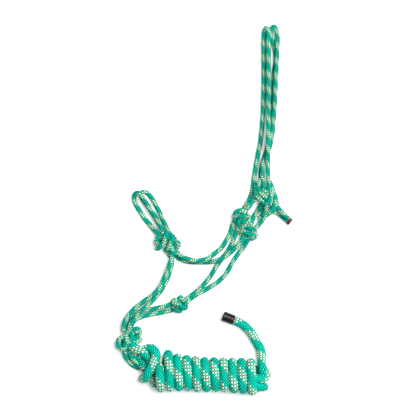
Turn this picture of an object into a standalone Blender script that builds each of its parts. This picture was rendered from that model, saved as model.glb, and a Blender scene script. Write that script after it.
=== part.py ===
"""Rope head halter for a pony, folded flat, with a thick lead rope tied on and wound into a hank.

Metres, +Z up. The halter lies on the surface z = 0. +Y runs from the hank to the crown.
"""
import math

import bmesh
import bpy
from mathutils import Vector
from mathutils.bvhtree import BVHTree

MM = 0.001

# Sizes in millimetres
CORD_DIAMETER = 7.5
LEAD_DIAMETER = 14.0
CAP_DIAMETER = 15.8
CAP_LENGTH = 18.0
CAP_RIM = 0.8
GAP = 0.35
KNOT_VOXEL = 1.0
KNOT_FACES = 1150
HITCH_FACES = 1500
HANK_FIRST_TURN_X = -66.4
HANK_PITCH = 13.9
HANK_HEIGHT = 46.0
HANK_GROOVE = 2.4
HANK_SLANT = 2.5
HANK_ROUNDING = 3.2
# Where each turn of the hank reaches, towards the crown and away from it
HANK_TOPS = [-252.5, -235.5, -239.5, -242, -243.5, -245, -245.5, -246, -246, -246.5, -247]
HANK_BOTTOMS = [-299.5, -298.5, -297, -297, -298, -298, -298, -298.5, -300, -301.5, -304]

# The whole object is moved by this much, so that the halter's box is centred on the origin
ORIGIN = (-0.6, 2.3, 0.05)

TEAL = (0.012, 0.40, 0.31, 1.0)
LEAD_TEAL = (0.010, 0.44, 0.34, 1.0)
SCORCHED = (0.16, 0.045, 0.025, 1.0)
BLACK = (0.012, 0.012, 0.013, 1.0)

# Routes are centrelines in millimetres: x to the right, y to the crown, z up
CROWN_ONE = [
    (58.5, -24, 6), (65.5, -12, 4), (71.3, -1, 3.8), (74.6, 11, 3.8), (77, 30, 3.8), (81.8, 59, 3.8),
    (86.2, 82, 3.8), (89.6, 116, 3.8), (91, 150, 3.8), (91.4, 190, 3.8), (91.2, 225, 3.8),
    (91.3, 240, 4), (92.3, 249, 5.5), (95.2, 255.8, 8.5), (98, 249.5, 11.8), (98.6, 238, 12),
    (98.6, 216, 12), (98.5, 190, 12), (98.4, 160, 12), (98.4, 140, 12), (98.4, 125, 12.8),
    (98.3, 112, 15), (98.2, 100, 17.3), (98.1, 88, 19.2), (98, 75, 20), (97.8, 65, 20),
    (97.6, 55, 18), (97.5, 45, 15.2), (97.6, 34, 14), (98, 24, 14),
]
CROWN_TWO = [
    (89.5, 24, 13), (89.6, 44, 12.4), (92, 55, 12), (96.8, 65, 11.8), (101.2, 78, 11.8),
    (103.8, 91, 11.8), (105.4, 105, 11.8), (106.6, 120, 11.8), (107.8, 135, 11.8),
    (108.6, 150, 11.8), (109.4, 172, 11.8), (110.4, 190, 11.8), (110.9, 207, 11.8),
    (111.7, 221, 11.6), (112.1, 232, 9.6), (112.2, 241, 7), (111.2, 249.5, 5), (106.8, 257.4, 4),
    (102, 251, 3.8), (103.3, 243, 3.8), (106, 231, 3.8), (108.8, 219, 3.8), (109.8, 207, 3.8),
    (108.5, 197.5, 3.8), (107, 189, 3.8), (106.4, 178, 3.8), (106, 162, 3.8), (105.6, 145, 3.8),
    (104.8, 130, 3.8), (103.5, 112, 3.8), (101.5, 100, 3.8), (99.5, 88, 3.8), (97, 75, 3.8),
    (93.3, 62, 3.8), (89.2, 50, 3.8), (87.2, 40, 3.8), (86.7, 27, 3.8), (86, 17, 3.8),
    (83.6, 7, 5), (78.8, -2, 9), (72.8, -10, 11), (66.8, -20, 12),
]
TIE_LEFT_LEG = [(87, -12, 9), (84.5, -18, 6.5), (79.8, -25, 5), (75.8, -32, 5), (73, -39, 6), (71, -46, 8)]
TIE_RIGHT_LEG = [(97, -25.5, 16), (91.8, -33, 13), (88, -38.3, 11), (83.3, -44, 11), (77.5, -50.5, 12)]
TAIL_UPPER = [(107.5, -10, 14), (110.5, -15, 13), (115.5, -21, 11.5), (122, -28, 11), (129.1, -35, 10.9)]
TAIL_LOWER = [(102.5, -19.8, 6.5), (107.8, -23.8, 5), (114, -27, 4), (120.6, -32.3, 3.8), (127, -38.2, 3.8)]
TIP_UPPER = [(129.1, -35, 10.9), (133.2, -38.8, 10.9)]
TIP_LOWER = [(127, -38.2, 3.8), (131, -41.9, 3.8)]
CHEEK_RIGHT = [
    (48.5, -35, 7), (44.1, -44, 5), (39.7, -57.6, 3.8), (30.7, -73.7, 3.8), (24, -81.8, 4), (17.2, -87.2, 6.3),
    (11, -91.5, 9), (4, -96, 11.5), (-9, -98.3, 11.6), (-20, -96.8, 11.6), (-31, -93, 11.6),
    (-40, -86.5, 11.6), (-46, -80, 11.6),
]
CHEEK_LEFT = [
    (66, -58, 10), (58.2, -67.7, 11), (49.6, -77.5, 11.8), (39.4, -87, 12.2), (30.6, -93.6, 12.4),
    (22, -97.5, 11.8), (15, -99.6, 9.3), (9, -100.3, 5.2), (2, -100.5, 3.9), (-9, -100.8, 3.8),
    (-20, -100.2, 3.8), (-31, -98, 3.8), (-38.3, -94, 3.8), (-42.5, -88.5, 3.8), (-44, -82, 4),
]
THROAT_RIGHT = [
    (55.5, -37, 10), (52, -46, 7.5), (47.4, -60, 4.4), (42.3, -74, 3.8), (34.8, -86, 3.8),
    (26.3, -97, 3.8), (18.8, -108.5, 3.8), (11, -121, 3.9), (2.5, -132, 5.8), (-5, -140, 10),
    (-13, -147, 11.6), (-22, -153.5, 11.6), (-32, -160, 11.6),
]
THROAT_LEFT = [
    (70, -60, 8), (65.2, -70.5, 6), (57.4, -81.8, 4), (48.3, -94, 3.8), (39.4, -109.2, 3.8),
    (31, -122, 3.8), (18.2, -133, 3.8), (5.5, -141, 3.8), (-6, -147.3, 3.8), (-16, -153.3, 3.8),
    (-24, -159, 3.8), (-33, -164, 5),
]
NOSEBAND_OUTER = [
    (-63, -66, 11), (-69.3, -57.3, 9), (-78.8, -47, 5), (-90, -33.3, 4), (-98.4, -20.4, 3.8),
    (-104.4, -8.8, 3.8), (-105.8, -1.4, 4.6), (-102.3, 4.5, 8), (-96.9, 3.4, 11.3),
    (-92.5, -3.2, 11.8), (-85, -14, 11.7), (-78, -24.6, 11.7), (-71.2, -35.4, 11.7),
    (-65.1, -47.3, 11.8), (-61, -58, 12),
]
NOSEBAND_INNER = [
    (-55, -66, 14), (-52.9, -56, 12), (-58.4, -44, 7), (-63.8, -32, 4.2), (-68.8, -21, 3.8),
    (-73.8, -11.5, 3.8), (-79.3, -2.5, 3.8), (-84.5, 4, 3.8), (-90.6, 6.3, 3.8), (-94.4, 3.8, 3.8),
    (-94.2, -2, 3.8), (-91.2, -7.2, 3.8), (-84.6, -16, 3.8), (-77.7, -26.6, 3.8), (-70.9, -37.2, 3.8),
    (-64, -48.8, 3.8), (-60, -58, 4),
]
CHIN_UPPER = [
    (-52, -80, 12), (-47.9, -90, 11.6), (-51.8, -105.2, 11.6), (-58.1, -121.3, 11.6),
    (-66.4, -138.4, 11.6), (-77.9, -150.9, 11.6), (-90, -159.4, 11.6), (-104.7, -171.1, 11.6),
    (-117, -185, 11.6), (-121.7, -198, 11.6), (-121, -206, 11.6),
]
CHIN_LOWER = [
    (-58, -82, 6), (-51.6, -89.5, 4.2), (-48.2, -97, 3.8), (-49.1, -106.2, 3.8), (-54.3, -123.8, 3.8),
    (-62.9, -140.9, 3.8), (-73.4, -154.5, 4.5), (-84, -164.9, 9), (-91.2, -171.6, 12.1),
    (-100.3, -180.5, 12), (-107, -188.8, 12), (-112, -198, 12), (-112, -206, 12),
]
FIADOR_UPPER = [
    (-42, -163, 9), (-50, -165, 9), (-60, -167.8, 8.6), (-74, -171, 7.6), (-84, -173, 4.6),
    (-93, -174.8, 3.8), (-105, -179, 3.8), (-114.3, -186, 3.8), (-119.3, -196, 3.8), (-120, -205, 4),
]
FIADOR_LOWER = [
    (-42, -170, 5), (-50, -173.6, 3.8), (-60, -176.2, 3.8), (-74, -179, 3.8), (-85, -181.2, 3.8),
    (-93, -183, 3.8), (-101, -187, 3.8), (-107.5, -192.5, 3.8), (-111, -200, 3.8), (-111.5, -206, 4),
]
FIADOR_LOOP = [
    (-118.5, -229, 12), (-120, -237, 9.5), (-118.8, -243.5, 7), (-114.3, -250.8, 5), (-107.8, -256.8, 4),
    (-100, -261, 3.8), (-91, -261.8, 3.8), (-83, -257.5, 3.8), (-80, -250, 3.8), (-83, -241, 3.8),
    (-91, -236, 5), (-99, -231, 8),
]
LEAD_TAIL = [
    (88.5, -254.5, 17.5), (88.7, -248, 14), (88.3, -240, 10.5), (85.5, -231, 8.4), (81.5, -223.5, 7.9),
    (77.5, -216.5, 7.9), (73, -209, 7.9), (67, -202, 7.9), (60, -195.7, 7.9), (53, -191.5, 7.9),
    (46.8, -189, 7.9),
]
BIGHT_UPPER = [
    (81.5, -267, 31), (88, -267, 31), (92.6, -267, 29.2), (95, -267, 23.2), (92.6, -267, 17.2),
    (88, -267, 15.4), (81.5, -267, 15.4),
]
BIGHT_LOWER = [
    (81.5, -287, 31), (85, -287, 31), (89.3, -287, 29.2), (91.7, -287, 23.2), (89.3, -287, 17.2),
    (85, -287, 15.4), (81.5, -287, 15.4),
]

# Knots: centre, barrel axis, half width across and half height of the turns, number of turns
KNOT_BARRELS = {
    "cheek_knot_right": ((56.8, -31.0, 11.2), (-0.22, -0.97, 0), 9.4, 7.2, 2.0, 8.0),
    "cheek_knot_left": ((68.8, -57.3, 11.4), (-0.30, -0.95, 0), 11.2, 7.4, 2.0, 7.8),
    "nose_knot_left": ((-66.5, -69.8, 11.4), (0.90, -0.42, 0), 9.6, 7.4, 1.0, 7.8),
    "nose_knot_right": ((-47.3, -73.6, 11.6), (0.92, -0.38, 0), 9.0, 7.6, 1.4, 7.8),
    "throat_knot": ((-36.3, -164.3, 11.4), (-0.70, -0.71, 0), 10.0, 7.4, 2.0, 7.6),
}
TIE_KNOT_ROUTES = [
    [(84, 20, 13.5), (81, 12, 14.5), (85, 5, 17.5), (91, -2, 18), (95.5, -7, 16), (99, -12, 13)],
    [(83, 16, 13), (78.5, 8, 15.5), (79.5, 1, 16.8), (84, -5, 17), (90, -11, 16.5), (95, -15, 14)],
    [(90, 19, 13), (91, 10, 13.2), (94, 0, 13.2), (98, -10, 13)],
    [(97.5, 20, 14.5), (97, 10, 17), (96.5, 2, 17), (95, -6, 14)],
    [(103, 4, 14), (101.5, -2, 18), (99.5, -9, 19.5), (96.5, -16, 19), (94, -22, 16.5)],
    [(101, 19, 13), (104.5, 10, 14.5), (107, 2, 15.5), (108.5, -5, 15)],
    [(104.5, -2, 13.5), (105, -10, 13), (103.5, -18, 12.4), (99, -24, 12.4), (91, -22, 12.4)],
    [(96, -14, 12.4), (90, -14, 12.4), (85, -12, 12.4)],
]
TIE_KNOT_CORE = ((95, -2, 13), (9, 16, 4.4))
FIADOR_KNOT_ROUTES = [
    [(-113, -211, 12), (-115, -215, 17), (-117, -221, 18), (-119.5, -228, 15)],
    [(-108, -212, 13), (-109.5, -205.5, 15), (-103, -201.5, 15), (-97, -205.5, 14),
     (-98, -212.5, 12), (-104, -215, 12)],
    [(-110, -219, 14), (-104, -219.5, 16), (-97.5, -218.5, 14), (-98, -224, 9)],
    [(-125, -210, 11), (-130, -218, 12), (-130.5, -226, 12), (-126, -232, 12.5),
     (-118, -233, 14), (-111, -227.5, 17), (-109, -220, 17)],
    [(-118, -210, 13), (-124.5, -214, 14), (-121, -219, 12)],
]
FIADOR_KNOT_CORE = ((-114, -219, 10.5), (13, 12, 10.0))
HITCH_ROUTES = [
    [(-113, -243, 15), (-105, -235.5, 18.5), (-95, -235.5, 21), (-86, -239, 21), (-81, -247, 17),
     (-82, -257, 15)],
    [(-91, -232, 19), (-81.5, -229, 21.5), (-74.5, -232, 24), (-71.5, -240, 25),
     (-73.5, -250, 25), (-79, -261, 24), (-85.5, -271, 21), (-92, -275.5, 15)],
    [(-108, -245, 18), (-104, -252, 17.5), (-98, -259, 16), (-91, -265, 15)],
    [(-97, -243, 18), (-93, -251, 17), (-86, -259, 16), (-82, -266, 15)],
]
HITCH_CORE = ((-86, -252, 16.5), (11, 17, 7.5))
# Flat sides, point and outward normal, where these tight bodies press on their neighbours
FIADOR_KNOT_SIDE = ((-102.0, -234.0, 0), (0.50, -0.866, 0))
HITCH_KNOT_SIDE = ((-101.7, -234.6, 0), (-0.50, 0.866, 0))
HITCH_HANK_SIDE = ((-74.6, -255.0, 0), (0.93, -0.37, 0))


def vec(point):
    return Vector(point) * MM + Vector(ORIGIN) * MM


def smooth_route(points, step=1.0):
    """Points every step millimetres on a smooth curve through the route points."""
    knots = [Vector(p) for p in points]
    knots = [knots[0] * 2 - knots[1]] + knots + [knots[-1] * 2 - knots[-2]]
    out = []
    for i in range(1, len(knots) - 2):
        a, b, c, d = knots[i - 1:i + 3]
        count = max(2, round((c - b).length / step))
        out.extend(blend_point(a, b, c, d, k / count) for k in range(count))
    out.append(knots[-2])
    return out


def blend_point(a, b, c, d, s):
    """Catmull-Rom point between b and c, with knots spaced by the root of the distance."""
    t1 = math.sqrt((b - a).length)
    t2 = t1 + math.sqrt((c - b).length)
    t3 = t2 + math.sqrt((d - c).length)
    t = t1 + (t2 - t1) * s
    ab = a * ((t1 - t) / t1) + b * (t / t1)
    bc = b * ((t2 - t) / (t2 - t1)) + c * ((t - t1) / (t2 - t1))
    cd = c * ((t3 - t) / (t3 - t2)) + d * ((t - t2) / (t3 - t2))
    abc = ab * ((t2 - t) / t2) + bc * (t / t2)
    bcd = bc * ((t3 - t) / (t3 - t1)) + cd * ((t - t1) / (t3 - t1))
    return abc * ((t2 - t) / (t2 - t1)) + bcd * ((t - t1) / (t2 - t1))


def tangent(line, i):
    return (line[min(i + 1, len(line) - 1)] - line[max(i - 1, 0)]).normalized()


def thinned(line, longest, most_turn=math.radians(17)):
    """Fewer points: a new one after each stretch or turn that is large enough."""
    kept = [0]
    for i in range(1, len(line) - 1):
        far = (line[i] - line[kept[-1]]).length > longest
        turned = tangent(line, i).angle(tangent(line, kept[-1])) > most_turn
        if far or turned:
            kept.append(i)
    if (line[-1] - line[kept[-1]]).length < 1.5 and len(kept) > 2:
        kept.pop()
    return [line[i] for i in kept] + [line[-1]]


def end_ring(line, i, radius):
    """Points round the cord's surface at line[i], and its centre."""
    along = tangent(line, i)
    side = along.cross(Vector((0, 0, 1))).normalized()
    up = side.cross(along)
    angles = [k * math.pi / 6 for k in range(12)]
    ring = [line[i] + (side * math.cos(a) + up * math.sin(a)) * radius for a in angles]
    return ring + [line[i]]


def inside_or_near(tree, point, gap):
    """True when the point, in millimetres, is in the body or closer to it than gap."""
    here = vec(point)
    hit, normal, _, distance = tree.find_nearest(here, CORD_DIAMETER * MM)
    if hit is None:
        return False
    return distance < gap * MM or (here - hit).dot(normal) < 0


def trimmed(line, radius, bodies):
    """The stretch of the line about its middle whose cord is clear of the bodies."""
    trees = [BVHTree.FromPolygons(*flat_mesh(o)) for o in bodies]

    def blocked(i):
        ring = end_ring(line, i, radius)
        return any(inside_or_near(t, p, GAP) for t in trees for p in ring)

    first = last = len(line) // 2
    while first > 0 and not blocked(first - 1):
        first -= 1
    while last < len(line) - 1 and not blocked(last + 1):
        last += 1
    return line[first:last + 1]


def flat_mesh(obj):
    points = [v.co.copy() for v in obj.data.vertices]
    return points, [tuple(p.vertices) for p in obj.data.polygons]


def material(name, colour, roughness):
    mat = bpy.data.materials.new(name)
    mat.use_nodes = True
    shader = mat.node_tree.nodes["Principled BSDF"]
    shader.inputs["Base Color"].default_value = colour
    shader.inputs["Roughness"].default_value = roughness
    mat.diffuse_color = colour
    return mat


def add(name, data, colour, roughness):
    obj = bpy.data.objects.new(name, data)
    bpy.context.scene.collection.objects.link(obj)
    data.materials.append(material(name, colour, roughness))
    return obj


def cord_curve(name, line, diameter, sides):
    curve = bpy.data.curves.new(name, "CURVE")
    curve.dimensions = "3D"
    curve.bevel_depth = diameter / 2 * MM
    curve.bevel_resolution = sides
    curve.use_fill_caps = True
    spline = curve.splines.new("POLY")
    spline.points.add(len(line) - 1)
    for target, point in zip(spline.points, line):
        target.co = (*vec(point), 1.0)
    return curve


def cord_line(route, diameter, bodies=()):
    line = smooth_route(route)
    if bodies:
        line = trimmed(line, diameter / 2, bodies)
    return thinned(line, 2.4 * diameter)


def cord(name, route, bodies=(), diameter=CORD_DIAMETER, colour=TEAL):
    line = cord_line(route, diameter, bodies)
    return add(name, cord_curve(name, line, diameter, 2), colour, 0.75)


def barrel_route(centre, axis, across, half_height, turns, pitch):
    """A helix of flattened turns about a horizontal axis."""
    middle, along = Vector(centre), Vector(axis).normalized()
    side = along.cross(Vector((0, 0, 1))).normalized()
    steps = 10 * math.ceil(turns + 1)
    points = []
    for k in range(steps + 1):
        turn = (k / steps - 0.5) * (turns + 0.9)
        angle = turn * 2 * math.pi + math.pi / 2
        point = middle + along * turn * pitch * turns / (turns + 0.9)
        points.append(point + side * across * math.cos(angle)
                      + Vector((0, 0, half_height * math.sin(angle))))
    return points


def ellipsoid(bm, centre, radii):
    made = bmesh.ops.create_icosphere(bm, subdivisions=3, radius=1.0)
    for v in made["verts"]:
        local = Vector(v.co[k] * radii[k] for k in range(3))
        v.co = vec(Vector(centre) + local)


def largest_shell(bm):
    """Removes every closed shell except the outer one."""
    shells, seen = [], set()
    for start in bm.verts:
        if start in seen:
            continue
        seen.add(start)
        group, stack = [], [start]
        while stack:
            v = stack.pop()
            group.append(v)
            fresh = [e.other_vert(v) for e in v.link_edges if e.other_vert(v) not in seen]
            seen.update(fresh)
            stack.extend(fresh)
        shells.append(group)
    shells.sort(key=len)
    for group in shells[:-1]:
        bmesh.ops.delete(bm, geom=group, context="VERTS")


def evaluated_copy(obj):
    graph = bpy.context.evaluated_depsgraph_get()
    return bpy.data.meshes.new_from_object(obj.evaluated_get(graph), depsgraph=graph)


def fused_body(name, routes, core, diameter, faces, colour):
    """One solid from turns of cord drawn tight about a filled core."""
    bm = bmesh.new()
    for route in routes:
        line = thinned(smooth_route(route), 1.2 * diameter, math.radians(14))
        data = cord_curve(name, line, diameter, 4)
        helper = bpy.data.objects.new(name, data)
        bpy.context.scene.collection.objects.link(helper)
        bm.from_mesh(evaluated_copy(helper))
        bpy.data.objects.remove(helper)
    ellipsoid(bm, *core)
    mesh = bpy.data.meshes.new(name)
    bm.to_mesh(mesh)
    bm.free()
    obj = add(name, mesh, colour, 0.75)
    remesh = obj.modifiers.new("fuse", "REMESH")
    remesh.mode = "VOXEL"
    remesh.voxel_size = KNOT_VOXEL * MM
    solid = evaluated_copy(obj)
    obj.modifiers.clear()
    bm = bmesh.new()
    bm.from_mesh(solid)
    largest_shell(bm)
    bmesh.ops.triangulate(bm, faces=bm.faces)
    triangles = len(bm.faces)
    bm.to_mesh(mesh)
    bm.free()
    fewer = obj.modifiers.new("fewer", "DECIMATE")
    fewer.ratio = min(1.0, faces / triangles)
    light = evaluated_copy(obj)
    obj.modifiers.clear()
    bm = bmesh.new()
    bm.from_mesh(light)
    bm.to_mesh(mesh)
    bm.free()
    return obj


def flat_side(obj, side):
    """Cuts the body off flat beyond a plane."""
    point, normal = vec(side[0]), Vector(side[1])
    bm = bmesh.new()
    bm.from_mesh(obj.data)
    everything = bm.verts[:] + bm.edges[:] + bm.faces[:]
    bmesh.ops.bisect_plane(bm, geom=everything, plane_co=point, plane_no=normal,
                           clear_outer=True)
    rim = [e for e in bm.edges if e.is_boundary]
    bmesh.ops.holes_fill(bm, edges=rim)
    bmesh.ops.triangulate(bm, faces=bm.faces)
    largest_shell(bm)
    bm.to_mesh(obj.data)
    bm.free()


def barrel_knot(name):
    centre, axis, across, half_height, turns, pitch = KNOT_BARRELS[name]
    route = barrel_route(centre, axis, across, half_height, turns, pitch)
    radii = (across * 0.95, across * 0.95, half_height * 0.95)
    return fused_body(name, [route], (centre, radii), CORD_DIAMETER, KNOT_FACES, TEAL)


def rounded_outline(half_width, half_height, count=28):
    """Points of the hank's cross-section: a squared oval."""
    points = []
    for k in range(count):
        a = 2 * math.pi * k / count
        c, s = math.cos(a), math.sin(a)
        reach = (abs(c) ** HANK_ROUNDING + abs(s) ** HANK_ROUNDING) ** (-1 / HANK_ROUNDING)
        points.append((c * reach * half_width, s * reach * half_height))
    return points


def between_turns(values, place):
    """The value at a place counted in turns, straight between neighbouring turns."""
    low = min(max(int(math.floor(place)), 0), len(values) - 2)
    share = min(max(place - low, 0.0), 1.0)
    return values[low] * (1 - share) + values[low + 1] * share


def hank_ring(place):
    """Outline of the hank at a place counted in turns from the middle of the first."""
    groove = HANK_GROOVE * abs(math.sin(math.pi * place)) ** 4
    top = between_turns(HANK_TOPS, place) - groove
    bottom = between_turns(HANK_BOTTOMS, place) + groove
    width = top - bottom
    ring = []
    for y, z in rounded_outline(width / 2, HANK_HEIGHT / 2 - groove):
        lean = -HANK_SLANT * y / width
        x = HANK_FIRST_TURN_X + HANK_PITCH * place + lean
        ring.append(vec((x, (top + bottom) / 2 + y, HANK_HEIGHT / 2 + z)))
    return ring


def loft(name, rings, colour, roughness):
    """A closed body through rings of points, with flat ends."""
    bm = bmesh.new()
    rows = [[bm.verts.new(p) for p in ring] for ring in rings]
    for low, high in zip(rows, rows[1:]):
        for k in range(len(low)):
            n = (k + 1) % len(low)
            bm.faces.new((low[k], high[k], high[n], low[n]))
    bm.faces.new(rows[0])
    bm.faces.new(list(reversed(rows[-1])))
    bmesh.ops.recalc_face_normals(bm, faces=bm.faces)
    mesh = bpy.data.meshes.new(name)
    bm.to_mesh(mesh)
    bm.free()
    return add(name, mesh, colour, roughness)


def hank():
    last = len(HANK_TOPS) - 1
    places = [-0.42, -0.25]
    for turn in range(last):
        places += [turn, turn + 0.34, turn + 0.5, turn + 0.66]
    places += [last, last + 0.25, last + 0.42]
    return loft("lead_hank", [hank_ring(p) for p in places], LEAD_TEAL, 0.75)


def cap():
    """Shrunk plastic sleeve on the lead's free end, with a rim at its flat end."""
    line = cord_line(LEAD_TAIL, LEAD_DIAMETER)
    along = (line[-1] - line[-2]).normalized()
    side = along.cross(Vector((0, 0, 1))).normalized()
    up = side.cross(along)
    start = line[-1] + along * GAP
    radius = CAP_DIAMETER / 2
    profile = [
        (0.0, radius - CAP_RIM), (0.8, radius - 0.3), (CAP_LENGTH - 4.5, radius - 0.3),
        (CAP_LENGTH - 2.5, radius), (CAP_LENGTH - 0.8, radius), (CAP_LENGTH, radius - CAP_RIM),
    ]
    rings = []
    for place, r in profile:
        angles = [2 * math.pi * k / 24 for k in range(24)]
        rings.append([vec(start + along * place + (side * math.cos(a) + up * math.sin(a)) * r)
                      for a in angles])
    return loft("lead_end_cap", rings, BLACK, 0.35)


def build():
    for obj in list(bpy.data.objects):
        bpy.data.objects.remove(obj, do_unlink=True)
    cheek_right = barrel_knot("cheek_knot_right")
    cheek_left = barrel_knot("cheek_knot_left")
    nose_left = barrel_knot("nose_knot_left")
    nose_right = barrel_knot("nose_knot_right")
    throat = barrel_knot("throat_knot")
    tie = fused_body("tie_knot", TIE_KNOT_ROUTES, TIE_KNOT_CORE, CORD_DIAMETER, KNOT_FACES, TEAL)
    fiador = fused_body("fiador_knot", FIADOR_KNOT_ROUTES, FIADOR_KNOT_CORE, CORD_DIAMETER,
                        KNOT_FACES, TEAL)
    hitch = fused_body("lead_hitch", HITCH_ROUTES, HITCH_CORE, LEAD_DIAMETER, HITCH_FACES,
                       LEAD_TEAL)
    flat_side(fiador, FIADOR_KNOT_SIDE)
    flat_side(hitch, HITCH_KNOT_SIDE)
    flat_side(hitch, HITCH_HANK_SIDE)
    cord("crown_strand_right", CROWN_ONE, (cheek_right, tie))
    cord("crown_strand_left", CROWN_TWO, (cheek_right, tie))
    cord("tie_loop_left_leg", TIE_LEFT_LEG, (cheek_left, tie))
    cord("tie_loop_right_leg", TIE_RIGHT_LEG, (cheek_left, tie))
    cord("crown_tail_upper", TAIL_UPPER, (tie,))
    cord("crown_tail_lower", TAIL_LOWER, (tie,))
    cord("tail_tip_upper", tip_route(TIP_UPPER), (), CORD_DIAMETER - 0.4, SCORCHED)
    cord("tail_tip_lower", tip_route(TIP_LOWER), (), CORD_DIAMETER - 0.4, SCORCHED)
    cheeks = (cheek_right, cheek_left, nose_right, throat)
    cord("cheek_strand_right", CHEEK_RIGHT, cheeks)
    cord("cheek_strand_left", CHEEK_LEFT, cheeks)
    cord("throat_strand_right", THROAT_RIGHT, cheeks)
    cord("throat_strand_left", THROAT_LEFT, cheeks)
    cord("noseband_outer", NOSEBAND_OUTER, (nose_left, nose_right))
    cord("noseband_inner", NOSEBAND_INNER, (nose_left, nose_right))
    cord("chin_strap_upper", CHIN_UPPER, (nose_left, nose_right, fiador))
    cord("chin_strap_lower", CHIN_LOWER, (nose_left, nose_right, fiador))
    cord("fiador_strand_upper", FIADOR_UPPER, (throat, fiador))
    cord("fiador_strand_lower", FIADOR_LOWER, (throat, fiador))
    cord("fiador_loop", FIADOR_LOOP, (fiador, hitch))
    wound = hank()
    for name, route in (("lead_bight_upper", BIGHT_UPPER), ("lead_bight_lower", BIGHT_LOWER)):
        cord(name, route, (wound,), LEAD_DIAMETER, LEAD_TEAL)
    cord("lead_tail", LEAD_TAIL, (), LEAD_DIAMETER, LEAD_TEAL)
    cap()


def tip_route(ends):
    """The tip starts just past the cut end of its cord."""
    first, last = Vector(ends[0]), Vector(ends[1])
    return [first + (last - first).normalized() * GAP * 1.4, last]


build()
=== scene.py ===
"""Looks of a rope head halter for a pony, folded flat, with a thick braided lead rope in a hank.

Lengths are millimetres until world() turns them into metres. +X runs along the hank to the
lead's free end, +Y from the hank to the crown, and +Z up off the floor.
"""
import math
from collections import namedtuple

import bpy
import numpy as np
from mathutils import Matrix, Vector

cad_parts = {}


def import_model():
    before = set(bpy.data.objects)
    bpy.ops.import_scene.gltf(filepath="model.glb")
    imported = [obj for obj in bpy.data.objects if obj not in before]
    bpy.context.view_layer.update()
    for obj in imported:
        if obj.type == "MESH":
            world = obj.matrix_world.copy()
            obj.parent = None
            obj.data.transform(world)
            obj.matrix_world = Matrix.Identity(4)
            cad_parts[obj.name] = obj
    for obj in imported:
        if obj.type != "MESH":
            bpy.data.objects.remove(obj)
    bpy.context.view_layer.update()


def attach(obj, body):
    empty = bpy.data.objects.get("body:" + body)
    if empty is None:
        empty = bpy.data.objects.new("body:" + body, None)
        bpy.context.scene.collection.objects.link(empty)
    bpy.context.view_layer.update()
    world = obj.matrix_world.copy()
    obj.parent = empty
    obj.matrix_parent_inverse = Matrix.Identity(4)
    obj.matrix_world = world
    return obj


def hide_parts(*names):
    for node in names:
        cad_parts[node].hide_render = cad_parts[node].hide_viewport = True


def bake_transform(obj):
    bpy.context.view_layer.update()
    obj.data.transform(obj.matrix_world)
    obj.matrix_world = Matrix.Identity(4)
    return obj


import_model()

MM = 0.001
# The whole object is moved by this much, as in the CAD
ORIGIN = np.array([-0.6, 2.3, 0.05])

# A braid: outer diameter, yarns in each direction, length of one turn of a yarn, yarns in one
# colour repeat and how many of those are cream, depth of the groove between yarns
Braid = namedtuple("Braid", "diameter yarns lay repeat cream groove")
HALTER_CORD = Braid(diameter=7.8, yarns=7, lay=22.8, repeat=7, cream=3, groove=0.6)
LEAD_ROPE = Braid(diameter=14.4, yarns=9, lay=37.8, repeat=9, cream=4, groove=0.85)

# Mesh steps from one yarn's middle to the next, and the shape of a yarn's crown
STEPS_PER_YARN = 4
YARN_POWER = 2.2
CROWN_POWER = 0.6
# A cut end is drawn in to this share of its radius
END_SHARE = 0.86
# How many mesh steps the braids are turned on, so that neighbouring cords don't match
ROUTE_PHASE = 5
STRAND_PHASE = 11
KNOT_PHASE = 6
HITCH_PHASE = 3
TAIL_PHASE = 7

# The colours of the yarns, and of the shade between them
HALTER_TEAL = (0.0004, 0.485, 0.335, 1)
HALTER_CREAM = (0.80, 0.95, 0.62, 1)
HALTER_SHADE = (0.0002, 0.025, 0.016, 1)
LEAD_TEAL = (0.0004, 0.65, 0.47, 1)
LEAD_CREAM = (1.0, 1.0, 0.74, 1)
LEAD_SHADE = (0.0002, 0.028, 0.018, 1)
# How much further a cream yarn reaches over its crossings, and how dark the shade goes
CREAM_FULLNESS = 0.02
SHADE_SHARE = 0.9

# The black sleeve, and the gap that it leaves beyond the end of the drawn rope
CAP_DIAMETER = 15.8
CAP_LENGTH = 18.6
GAP = 0.35

# How much thinner a melted tip is than its cord, on each side
TIP_SHRINK = 0.2

# The studio: where the camera stands and how much it takes in, in metres, and the lamp
CAMERA_PLACE = (0.00586, -0.01594, 3.0)
CAMERA_FIELD = 0.6323
KEY_DIRECTION = (-0.42, -0.2, -1.0)
KEY_STRENGTH = 5.6
KEY_SPREAD = 42
SKY_STRENGTH = 0.15
FLOOR_HALF = 4.0
FLOOR_GREY = (0.85, 0.85, 0.85, 1)
FLOOR_GLOW = 0.3
WHITE = (1, 1, 1, 1)

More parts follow.
